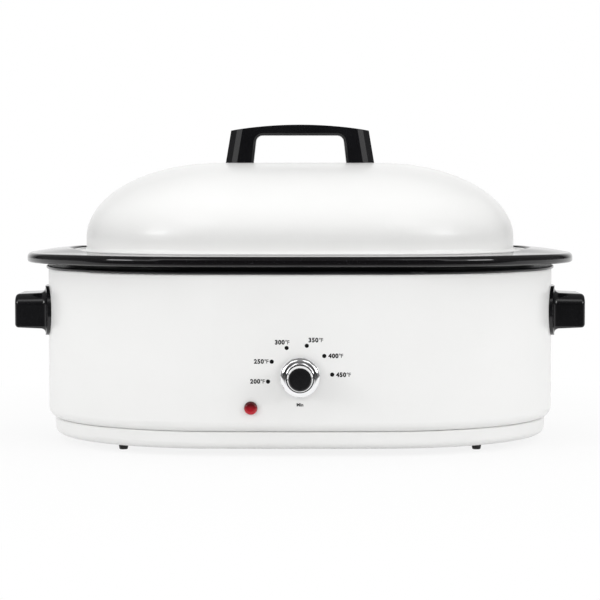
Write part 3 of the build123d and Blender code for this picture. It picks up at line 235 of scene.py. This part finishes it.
def black_enamel():
    s = Shade("black enamel")
    s.set(Specular_IOR_Level=0.5)
    specks = s.ramp(s.noise(900, 1), 0, 1, (0.64, 0.74))
    s.colour(specks, (0.0035, 0.003, 0.0036), (0.020, 0.020, 0.023))
    s.roughness(s.ramp(s.noise(50, 3), 0.06, 0.11))
    peel = s.bump(s.noise(260, 2), 0.06, 0.0004)
    s.bump(s.noise(45, 2), 0.05, 0.0010, peel)
    return s.material


def black_plastic(name, rough, grain, strength):
    s = Shade(name)
    s.set(Specular_IOR_Level=0.5)
    s.colour(s.ramp(s.noise(18, 3), 0, 1), (0.0035, 0.0035, 0.0042), (0.007, 0.007, 0.008))
    s.roughness(s.ramp(s.noise(90, 3), *rough))
    s.bump(s.noise(grain, 3, 0.6), strength, 0.00015)
    return s.material


def plated_wire():
    s = Shade("plated wire")
    s.set(Metallic=1.0)
    s.colour(s.ramp(s.noise(30, 2), 0, 1), (0.80, 0.80, 0.81), (0.752, 0.752, 0.7614))
    s.roughness(s.ramp(s.noise(120, 3), 0.10, 0.2))
    return s.material


def knob_plate():
    """Bright plate on the skirt and the front ring, bare black moulding on the grip's side, and a thin
    painted shade line low on the front.
    """
    s = Shade("knob plate")

    def step(value, low, high, edge):
        return s.ramp(value, low, high, ((edge - KNOB_BLACK_FADE) * MM, (edge + KNOB_BLACK_FADE) * MM))

    axis = (0.0, (CENTRE_Y - HALF_DEPTH) * MM, KNOB_Z * MM)
    place = split_vector(s.tree, vector_from(s.tree, axis, s.coords))
    flat = shader_node(s.tree, "CombineXYZ")
    s.link(place["X"], flat.inputs["X"])
    s.link(place["Z"], flat.inputs["Z"])
    # Measuring from a lifted centre widens the black low on the knob's front, as a painted shade line.
    ring = vector_from(s.tree, (0, 0, KNOB_PAINTED_SHADE_LIFT * MM), flat.outputs[0])
    inside = step(vector_length(s.tree, flat.outputs[0]), 1.0, 0.0, KNOB_BLACK_OUTER)
    outside = step(vector_length(s.tree, ring), 0.0, 1.0, KNOB_BLACK_INNER)
    forward = step(place["Y"], 1.0, 0.0, -KNOB_BLACK_START)
    black = maths(s.tree, "MULTIPLY", maths(s.tree, "MULTIPLY", inside, outside), forward)
    s.feed("Metallic", s.ramp(black, 1.0, 0.0, (0.4, 0.6)))
    s.feed("Specular IOR Level", s.ramp(black, 0.5, 0.0, (0.4, 0.6)))
    s.colour(black, (0.93, 0.93, 0.94), (0.004, 0.004, 0.005))
    s.roughness(s.ramp(s.noise(160, 3), 0.05, 0.10))
    return s.material


def brushed(name, tint, along, rough=(0.28, 0.42)):
    """Metal with a fine grain, drawn out along the axes that have the smallest scale."""
    s = Shade(name)
    s.set(Metallic=1.0)
    grain = s.noise(1.0, 4, 0.6, s.stretch(*along))
    s.colour(s.ramp(grain, 0, 1), tint, tuple(0.84 * v for v in tint))
    s.roughness(s.ramp(grain, *rough))
    s.bump(grain, 0.12, 0.00015)
    return s.material


def rubber():
    s = Shade("rubber")
    s.colour(s.ramp(s.noise(400, 3), 0, 1), (0.014, 0.014, 0.014), (0.03, 0.03, 0.029))
    s.roughness(s.ramp(s.noise(150, 2), 0.6, 0.8))
    s.bump(s.noise(1800, 2), 0.25, 0.0002)
    return s.material


def red_lens():
    s = Shade("red lens")
    s.set(Transmission_Weight=0.2, IOR=1.49)
    height = split_vector(s.tree, s.coords)["Z"]
    # Painted light and shade: bright red at the lens's foot, darker towards its top.
    fade = s.ramp(height, 0, 1, ((LENS_Z + LENS_PAINTED_LIGHT_UP_TO) * MM, (LENS_Z + LENS_PAINTED_SHADE_FROM) * MM))
    s.colour(fade, (0.62, 0.005, 0.020), (0.09, 0.001, 0.004))
    s.roughness(s.ramp(s.noise(300, 2), 0.03, 0.07))
    s.bump(s.cells(500), 0.12, 0.0003)
    return s.material


def clear_glass():
    s = Shade("clear glass")
    s.set(Transmission_Weight=0.9, IOR=1.46)
    s.colour(s.ramp(s.noise(60, 2), 0, 1), (0.96, 0.93, 0.90), (0.98, 0.97, 0.95))
    s.roughness(s.ramp(s.noise(200, 2), 0.03, 0.08))
    return s.material


def fibre_blanket():
    s = Shade("glass fibre")
    s.set(Sheen_Weight=0.3)
    fluff = s.noise(160, 6, 0.65)
    s.colour(s.ramp(fluff, 0, 1), (0.66, 0.58, 0.36), (0.86, 0.82, 0.68))
    s.roughness(s.ramp(fluff, 0.85, 0.98))
    s.bump(fluff, 0.8, 0.002)
    return s.material


def smooth_solid(name, first, second):
    """Glazed ceramic, cast resin or moulded silicone in two close tints."""
    s = Shade(name)
    s.colour(s.ramp(s.noise(70, 4), 0, 1), first, second)
    s.roughness(s.ramp(s.noise(160, 3), 0.22, 0.4))
    s.bump(s.noise(500, 2), 0.1, 0.0002)
    return s.material


def print_ink(name, tint):
    s = Shade(name)
    s.set(Specular_IOR_Level=0.12)
    s.colour(s.ramp(s.noise(900, 3), 0, 1), tint, tuple(v * 1.4 + 0.002 for v in tint))
    s.roughness(s.ramp(s.noise(500, 2), 0.42, 0.55))
    return s.material


WHITE = white_enamel()
ENAMEL = black_enamel()
PLASTIC = black_plastic("black moulding", (0.10, 0.17), 1500, 0.08)
RING = black_plastic("black ring moulding", (0.13, 0.20), 1200, 0.08)
CAP = black_plastic("knob core", (0.16, 0.24), 1800, 0.08)
GLAND = black_plastic("gland moulding", (0.45, 0.6), 1400, 0.3)
KNOB_PLATE = knob_plate()
WIRE = plated_wire()
STEEL = brushed("mill finish steel", (0.66, 0.66, 0.65), (40, 40, 1500))
BAND = brushed("heater steel", (0.46, 0.44, 0.41), (30, 30, 900), (0.35, 0.55))
ZINC = brushed("zinc plate", (0.62, 0.63, 0.64), (500, 500, 500), (0.3, 0.45))
BRASS = brushed("brass", (0.78, 0.58, 0.26), (600, 40, 40), (0.25, 0.4))
RUBBER = rubber()
FIBRE = fibre_blanket()
CERAMIC = smooth_solid("glazed insulator", (0.72, 0.69, 0.62), (0.80, 0.78, 0.72))
RESIN = smooth_solid("cream resin", (0.62, 0.56, 0.44), (0.70, 0.65, 0.54))
SILICONE = smooth_solid("red silicone", (0.32, 0.07, 0.05), (0.42, 0.10, 0.07))
LENS = red_lens()
NEON = clear_glass()
INK = print_ink("black print", (0.003, 0.003, 0.003))
GREY_INK = print_ink("grey print", (0.08, 0.08, 0.08))

FINISH = {
    "outer_body": WHITE,
    "base_pan": WHITE,
    "lid": WHITE,
    "cookwell": ENAMEL,
    "rim_ring": RING,
    "side_handle_left": PLASTIC,
    "side_handle_right": PLASTIC,
    "lid_handle": PLASTIC,
    "foot_front_left": RUBBER,
    "foot_front_right": RUBBER,
    "foot_back_left": RUBBER,
    "foot_back_right": RUBBER,
    "inner_liner": STEEL,
    "liner_floor": STEEL,
    "heater_band": BAND,
    "insulation_blanket": FIBRE,
    "spacer_posts": RESIN,
    "pan_screws": ZINC,
    "side_handle_screws": ZINC,
    "thermostat_bracket": ZINC,
    "thermostat_body": CERAMIC,
    "thermostat_blades": BRASS,
    "thermostat_screws": ZINC,
    "indicator_lens": LENS,
    "indicator_lamp": NEON,
    "lens_retainer": ZINC,
    "cord_gland": GLAND,
    "terminal_block": CERAMIC,
    "knob_bezel": KNOB_PLATE,
    "knob_core": CAP,
    "control_shaft": ZINC,
    "wire_rack": WIRE,
    "rack_bails": WIRE,
    "lid_handle_washers": SILICONE,
    "lid_handle_screws": ZINC,
}
for name, obj in nodes.items():
    for slot in obj.material_slots:
        slot.material = FINISH[name]

# ---------------------------------------------------------------- cookwell
# The enamelled pan, drawn again with a flange that lies flat along the sides, rises to a crest
# at the two ends where it is gripped, and turns down at the edge into a deep rolled lip.
# A loop round the pan is named by its half length, measured from the middle to an end.
SHEET = 1.2

# Inside face: a flat floor, a round corner, a leaning wall and a round step out to the lid's ledge.
PAN_FLOOR_Z = 38.0
PAN_FLOOR_HALF = 214.0
PAN_FLOOR_ROWS = (120.0, PAN_FLOOR_HALF - 22.0)
CORNER_RADIUS = 19.4
CORNER_INSET = 20.0
WALL_HEIGHTS = (70.0, 110.0, 150.0, 186.0)
MOUTH_HALF = 219.5
MOUTH_RADIUS = 4.6
MOUTH_OUTSET = 4.1
LEDGE_Z = 195.3
LEDGE_ROWS = (228.0, 236.5)

# From the ledge up to the crest: half length, and share of the crest's height above the ledge.
STEP_ROWS = ((238.6, 0.0), (239.5, 0.16), (240.0, 0.55), (240.6, 0.86), (241.6, 0.97))
# The underside's step stands this much further out.
STEP_THICKNESS = 0.9

# The crest rises from low to high between two shares of its half length.
CREST_HALF = 243.0
CREST_LOW = 196.1
CREST_HIGH = 199.7
CREST_RISE = (0.84, 0.97)

# Shares of the way from the crest to the lip, and how strongly the flange arches on that way.
FLANGE_SHARES = (0.0, 0.12, 0.3, 0.5, 0.7, 0.86, 1.0)
FLANGE_ARCH = 0.55

# The lip's own loop, and the droop of its top towards the ends.
LIP_HALF_LENGTH = 279.3
LIP_HALF_DEPTH = 191.99
LIP_TOP_SIDE = 195.7
LIP_TOP_END = 194.8
LIP_DROOP_START = 203.0
LIP_DROOP_POWER = 1.8

# The lip's section, out from that loop and up from its top: roll, foot and turned-in edge.
ROLL_CENTRE = (0.4, -4.6)
ROLL_RADIUS = 4.6
ROLL_ANGLE = 78
FOOT_CENTRE = (2.4, -7.4)
FOOT_RADIUS = 2.6
EDGE_POINTS = [(0.2, -9.95), (-1.6, -9.3), (-2.6, -8.0), (-1.6, -8.1), (0.4, -8.75)]


def oval_loop(half_length, half_depth, side_radius, ends=64, sides=18):
    """Points of a four-arc oval, each with its outward direction."""
    end_radius = 2 * side_radius * half_depth - half_depth**2 - half_length**2
    end_radius /= 2 * (side_radius - half_length)
    end_x = half_length - end_radius
    side_y = side_radius - half_depth
    join = math.atan2(side_y, end_x)
    arcs = (
        (end_x, 0.0, end_radius, -join, 2 * join, ends),
        (0.0, -side_y, side_radius, join, math.pi - 2 * join, sides),
        (-end_x, 0.0, end_radius, math.pi - join, 2 * join, ends),
        (0.0, side_y, side_radius, math.pi + join, math.pi - 2 * join, sides),
    )
    loop = []
    for x, y, radius, start, span, count in arcs:
        for k in range(count):
            a = start + span * k / count
            loop.append((x + radius * math.cos(a), y + radius * math.sin(a), math.cos(a), math.sin(a)))
    return loop


def wall_loop(half_length):
    """The body's plan oval, moved out or in until it has this half length."""
    outset = half_length - HALF_LENGTH
    return oval_loop(half_length, HALF_DEPTH + outset, SIDE_RADIUS + outset)


def smooth(value, low, high):
    """0 up to low, 1 from high, and an eased change between."""
    t = min(max((value - low) / (high - low), 0.0), 1.0)
    return t * t * (3 - 2 * t)


def arc_points(centre, radius, start, span, count):
    """Points of an arc in a section, its angles in degrees."""
    return [
        (
            centre[0] + radius * math.cos(math.radians(start + span * k / count)),
            centre[1] + radius * math.sin(math.radians(start + span * k / count)),
        )
        for k in range(count + 1)
    ]


def pan_rows(under):
    """Floor, corner, wall and ledge as half length and height, inside or under the sheet."""
    drop = SHEET if under else 0.0
    wall_shift = SHEET / 2 if under else -SHEET / 2
    lean = (MOUTH_HALF - PAN_FLOOR_HALF) / (LEDGE_Z - PAN_FLOOR_Z)
    corner = (PAN_FLOOR_HALF - CORNER_INSET, PAN_FLOOR_Z + CORNER_RADIUS)
    mouth = (MOUTH_HALF + MOUTH_OUTSET, LEDGE_Z - MOUTH_RADIUS)
    rows = [(half, PAN_FLOOR_Z - drop) for half in PAN_FLOOR_ROWS]
    rows += arc_points(corner, CORNER_RADIUS + drop, -88, 84, 8)
    rows += [(PAN_FLOOR_HALF + wall_shift + lean * (z - PAN_FLOOR_Z), z) for z in WALL_HEIGHTS]
    rows += arc_points(mouth, MOUTH_RADIUS - drop, 176, -84, 5)
    rows += [(half, LEDGE_Z - drop) for half in LEDGE_ROWS]
    return rows[::-1] if under else rows


def lip_section():
    """The lip's outer face, its edge and back up its inner face."""
    section = [(ROLL_CENTRE[0], 0.0)]
    section += arc_points(ROLL_CENTRE, ROLL_RADIUS, ROLL_ANGLE, -ROLL_ANGLE, 8)
    section += arc_points(FOOT_CENTRE, FOOT_RADIUS, 0, -90, 5)
    section += EDGE_POINTS
    section += arc_points(FOOT_CENTRE, FOOT_RADIUS - SHEET, -90, 90, 4)
    section += arc_points(ROLL_CENTRE, ROLL_RADIUS - SHEET, 0, ROLL_ANGLE, 6)
    return section


def crest_height(x):
    return CREST_LOW + (CREST_HIGH - CREST_LOW) * smooth(abs(x) / CREST_HALF, *CREST_RISE)


def lip_height(x):
    towards_end = max(0.0, abs(x) - LIP_DROOP_START) / (LIP_HALF_LENGTH - LIP_DROOP_START)
    return LIP_TOP_SIDE + (LIP_TOP_END - LIP_TOP_SIDE) * towards_end**LIP_DROOP_POWER


def flange_loops(crest, lip, under):
    """Step, crest and flange as far as the lip, above or below the sheet."""
    drop = SHEET if under else 0.0
    step_outset = STEP_THICKNESS if under else 0.0
    loops = []
    for half, share in STEP_ROWS:
        heights = [LEDGE_Z - drop + share * (cz - LEDGE_Z) for cx, cy, cz in crest]
        loops.append([(x, y, z) for (x, y, nx, ny), z in zip(wall_loop(half + step_outset), heights)])
    for share in FLANGE_SHARES:
        loop = []
        for (cx, cy, cz), (lx, ly, lz, nx, ny) in zip(crest, lip):
            arch = FLANGE_ARCH * (cz - lz) * share * (1 - share)
            z = cz + share * (lz - cz) + arch - drop
            loop.append((cx + share * (lx - cx), cy + share * (ly - cy), z))
        loops.append(loop)
    return loops[::-1] if under else loops


def cookwell_loops():
    """Closed loops of the pan, from the middle of its inside to the middle of its underside."""

    def flat_loops(rows):
        return [[(x, y, z) for x, y, nx, ny in wall_loop(half)] for half, z in rows]

    crest = [(x, y, crest_height(x)) for x, y, nx, ny in wall_loop(CREST_HALF)]
    lip_oval = oval_loop(LIP_HALF_LENGTH, LIP_HALF_DEPTH, SIDE_RADIUS)
    lip = [(x, y, lip_height(x), nx, ny) for x, y, nx, ny in lip_oval]
    loops = flat_loops(pan_rows(under=False))
    loops += flange_loops(crest, lip, under=False)
    for out_by, up_by in lip_section():
        loops.append([(x + out_by * nx, y + out_by * ny, z + up_by) for x, y, z, nx, ny in lip])
    loops += flange_loops(crest, lip, under=True)
    loops += flat_loops(pan_rows(under=True))
    return loops


def skin_loops(name, loops, material):
    """One smooth closed mesh over a row of closed loops, capped at both ends."""
    bm = bmesh.new()
    rings = [[bm.verts.new((x * MM, (y + CENTRE_Y) * MM, z * MM)) for x, y, z in loop] for loop in loops]
    count = len(rings[0])
    for first, second in zip(rings, rings[1:]):
        for k in range(count):
            bm.faces.new((first[k], first[(k + 1) % count], second[(k + 1) % count], second[k]))
    for ring in (rings[0], rings[-1]):
        middle = bm.verts.new((0.0, CENTRE_Y * MM, ring[0].co.z))
        for k in range(count):
            bm.faces.new((middle, ring[k], ring[(k + 1) % count]))
    bmesh.ops.recalc_face_normals(bm, faces=bm.faces)
    for face in bm.faces:
        face.smooth = True
    return mesh_object(name, bm, material)


pan = skin_loops("enamelled_pan", cookwell_loops(), ENAMEL)
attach(pan, "cookwell")
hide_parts("cookwell")

# ---------------------------------------------------------------- dial print on the front wall
# Dots stand on a circle round the knob at even steps, in degrees clockwise from six o'clock.
DIAL_RADIUS = 31.3
DIAL_START = 82.3
DIAL_STEP = 36.6
# heat, and the text's offset from its dot: across and up
DIAL = (
    ("200", -10.2, -0.1),
    ("250", -10.2, 0.0),
    ("300", -4.4, 5.3),
    ("350", 8.7, 5.3),
    ("400", 11.2, -0.1),
    ("450", 11.0, -0.4),
)
# how far the number and its unit stand aside from that place, and Min below the knob's axis
HEAT_SHIFT = -2.3
UNIT_SHIFT = 5.0
MIN_DROP = 27.0
# size, stroke weight and letter spacing of each kind of print
HEAT_TYPE = (5.8, 0.27, 1.14)
UNIT_TYPE = (5.4, 0.10, 0.9)
MIN_TYPE = (4.2, 0.18, 1.08)
TYPE_HALF_THICKNESS = 0.03
TYPE_LIFT = 0.02
DOT_RADIUS = 2.05
DOT_THICKNESS = 0.05
DOT_TAPER = 0.97
DOT_SINK = 0.01
DOT_SEGMENTS = 40


def dot(name, across, height):
    """A thin raised dot of ink on the front wall."""
    bm = bmesh.new()
    bmesh.ops.create_cone(
        bm,
        cap_ends=True,
        segments=DOT_SEGMENTS,
        radius1=DOT_RADIUS * MM,
        radius2=DOT_RADIUS * MM * DOT_TAPER,
        depth=DOT_THICKNESS * MM,
    )
    bmesh.ops.translate(bm, verts=bm.verts, vec=(0, 0, DOT_THICKNESS * MM / 2))
    bmesh.ops.transform(bm, matrix=wall_frame(across, height, -DOT_SINK), verts=bm.verts)
    obj = mesh_object(name, bm, INK)
    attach(obj, "base")


def printed(name, words, across, height, kind, material):
    """Thin raised ink in the shape of words, on the front wall, centred on a place."""
    size, weight, spacing = kind
    curve = bpy.data.curves.new(name, "FONT")
    curve.body = words
    curve.size = size * MM
    curve.align_x = "CENTER"
    curve.align_y = "CENTER"
    curve.extrude = TYPE_HALF_THICKNESS * MM
    curve.offset = weight * MM
    curve.space_character = spacing
    curve.materials.append(material)
    obj = new_object(name, curve)
    obj.matrix_world = wall_frame(across, height, TYPE_LIFT)
    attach(obj, "base")


for step, (heat, shift, lift) in enumerate(DIAL):
    turn = math.radians(DIAL_START + DIAL_STEP * step)
    x = -DIAL_RADIUS * math.sin(turn)
    z = KNOB_Z - DIAL_RADIUS * math.cos(turn)
    dot(f"dial_dot_{heat}", x, z)
    printed(f"dial_heat_{heat}", heat, x + shift + HEAT_SHIFT, z + lift, HEAT_TYPE, INK)
    printed(f"dial_unit_{heat}", "°F", x + shift + UNIT_SHIFT, z + lift, UNIT_TYPE, GREY_INK)
printed("dial_min", "Min", 0.0, KNOB_Z - MIN_DROP, MIN_TYPE, INK)

# ---------------------------------------------------------------- floor
FLOOR_REACH = 6
FLOOR_GREY = 0.80
# The share of plain white grows with the distance from the middle, so that the oven's own shade
# shows faintly on the floor round it.
GLOW_NEAR = 0.25
GLOW_FAR = 0.75
GLOW_SHARE_NEAR = 0.86
# In reflections the floor is white beside and behind the oven and fades towards the room in front.
FADE_END_Y = -0.75
FADE_START_Y = -0.35
FADE_LEVEL = 0.10


def pale_floor():
    """A diffuse floor that is mostly plain white to the camera and in reflections."""
    material = bpy.data.materials.new("pale floor")
    material.use_nodes = True
    tree = material.node_tree
    tree.nodes.clear()
    ray = shader_node(tree, "LightPath").outputs
    place = shader_node(tree, "TexCoord").outputs["Object"]
    diffuse = shader_node(tree, "BsdfDiffuse")
    diffuse.inputs["Color"].default_value = (FLOOR_GREY, FLOOR_GREY, FLOOR_GREY, 1)
    depth = split_vector(tree, place)["Y"]
    fade = map_range(tree, depth, FADE_END_Y, FADE_START_Y, FADE_LEVEL, 1.0, smooth=True)
    glow = shader_node(tree, "Emission")
    tree.links.new(maths(tree, "MAXIMUM", ray["Is Camera Ray"], fade), glow.inputs["Strength"])
    share = map_range(tree, vector_length(tree, place), GLOW_NEAR, GLOW_FAR, GLOW_SHARE_NEAR, 1.0)
    looked_at = maths(tree, "MAXIMUM", ray["Is Camera Ray"], ray["Is Glossy Ray"])
    white = maths(tree, "MULTIPLY", looked_at, share)
    surface = mix_shaders(tree, white, diffuse.outputs[0], glow.outputs[0])
    tree.links.new(surface, shader_node(tree, "OutputMaterial").inputs[0])
    return material


floor_grid = bmesh.new()
bmesh.ops.create_grid(floor_grid, x_segments=1, y_segments=1, size=FLOOR_REACH)
floor = mesh_object("floor", floor_grid, pale_floor())

# ---------------------------------------------------------------- room
# How bright each part of the room is, and the range of a direction's X, Y or Z in which it sets in.
ROOM_DARK = 0.03
ROOM_CEILING = 0.26
ROOM_FLANKS = 0.18
AMBIENT = 0.54
AMBIENT_FLANKS = 0.92
BACKDROP_RANGE = (0.72, 0.99)
CEILING_RANGE = (0.05, 0.60)
FLANKS_RANGE = (0.55, 0.90)
AMBIENT_RANGE = (0.45, 0.95)


def studio():
    """White to the camera, and to light an even level that is stronger at the sides.

    Reflections see a white backdrop behind, a dim ceiling and sides, and a dark room in front.
    """
    world = bpy.data.worlds.new("studio")
    world.use_nodes = True
    tree = world.node_tree
    tree.nodes.clear()

    def background(strength=None):
        node = shader_node(tree, "Background")
        node.inputs["Color"].default_value = (1, 1, 1, 1)
        node.inputs["Strength"].default_value = 1.0
        if strength is not None:
            tree.links.new(strength, node.inputs["Strength"])
        return node.outputs[0]

    def level(direction, limits, low, high):
        return map_range(tree, direction, *limits, low, high, smooth=True)

    toward = split_vector(tree, shader_node(tree, "TexCoord").outputs["Generated"])
    aside = maths(tree, "ABSOLUTE", toward["X"])
    behind = level(toward["Y"], BACKDROP_RANGE, 0.0, 1.0)
    above = level(toward["Z"], CEILING_RANGE, ROOM_DARK, ROOM_CEILING)
    flanks = level(aside, FLANKS_RANGE, 0.0, ROOM_FLANKS)
    mirrored = background(maths(tree, "MAXIMUM", maths(tree, "MAXIMUM", behind, above), flanks))
    ambient = background(level(aside, AMBIENT_RANGE, AMBIENT, AMBIENT_FLANKS))
    ray = shader_node(tree, "LightPath").outputs
    unseen = mix_shaders(tree, ray["Is Glossy Ray"], ambient, mirrored)
    looked_at = maths(tree, "MAXIMUM", ray["Is Camera Ray"], ray["Is Transmission Ray"])
    surface = mix_shaders(tree, looked_at, unseen, background())
    tree.links.new(surface, shader_node(tree, "OutputWorld").inputs[0])
    return world


bpy.context.scene.world = studio()

# ---------------------------------------------------------------- lamps
# name, place on the right, height aimed at over the middle, width, height and watts
LAMP_PAIRS = (
    ("key", (1.95, -1.65, 1.05), 0.14, 1.5, 1.2, 7.5),
    ("glint", (2.1, -1.35, 0.85), 0.17, 0.7, 0.42, 8),
    ("strip", (1.0, -1.95, 2.1), 0.14, 1.3, 0.9, 5),
)
TOP_LAMP = ("top", (0, 0.1, 1.9), 0.2, 2.6, 1.8, 14)


def soft_box(name, place, aim, width, height, power):
    lamp = bpy.data.lights.new(name, "AREA")
    lamp.shape = "RECTANGLE"
    lamp.size = width
    lamp.size_y = height
    lamp.energy = power
    obj = new_object(name, lamp)
    obj.location = place
    obj.rotation_euler = (Vector((0, 0, aim)) - Vector(place)).to_track_quat("-Z", "Y").to_euler()
    return obj


for name, (x, y, z), aim, width, height, power in LAMP_PAIRS:
    soft_box(name + " left", (-x, y, z), aim, width, height, power)
    soft_box(name + " right", (x, y, z), aim, width, height, power)
# The lamp above lights the oven and isn't seen in reflections.
soft_box(*TOP_LAMP).visible_glossy = False

# ---------------------------------------------------------------- camera
SENSOR_WIDTH = 36.0
PICTURE_WIDTH_PIXELS = 600.0
FOCAL_LENGTH_PIXELS = 2290.5
CAMERA_DISTANCE = 2.4
CAMERA_HEIGHT = 0.2696
CAMERA_TILT_DOWN = 3.0

camera_data = bpy.data.cameras.new("camera")
camera_data.sensor_width = SENSOR_WIDTH
camera_data.lens = SENSOR_WIDTH * FOCAL_LENGTH_PIXELS / PICTURE_WIDTH_PIXELS
camera = new_object("camera", camera_data)
camera.location = (0.0, -CAMERA_DISTANCE + CENTRE_Y * MM, CAMERA_HEIGHT)
camera.rotation_euler = (math.radians(90 - CAMERA_TILT_DOWN), 0, 0)
bpy.context.scene.camera = camera
bpy.context.scene.view_settings.view_transform = "Standard"
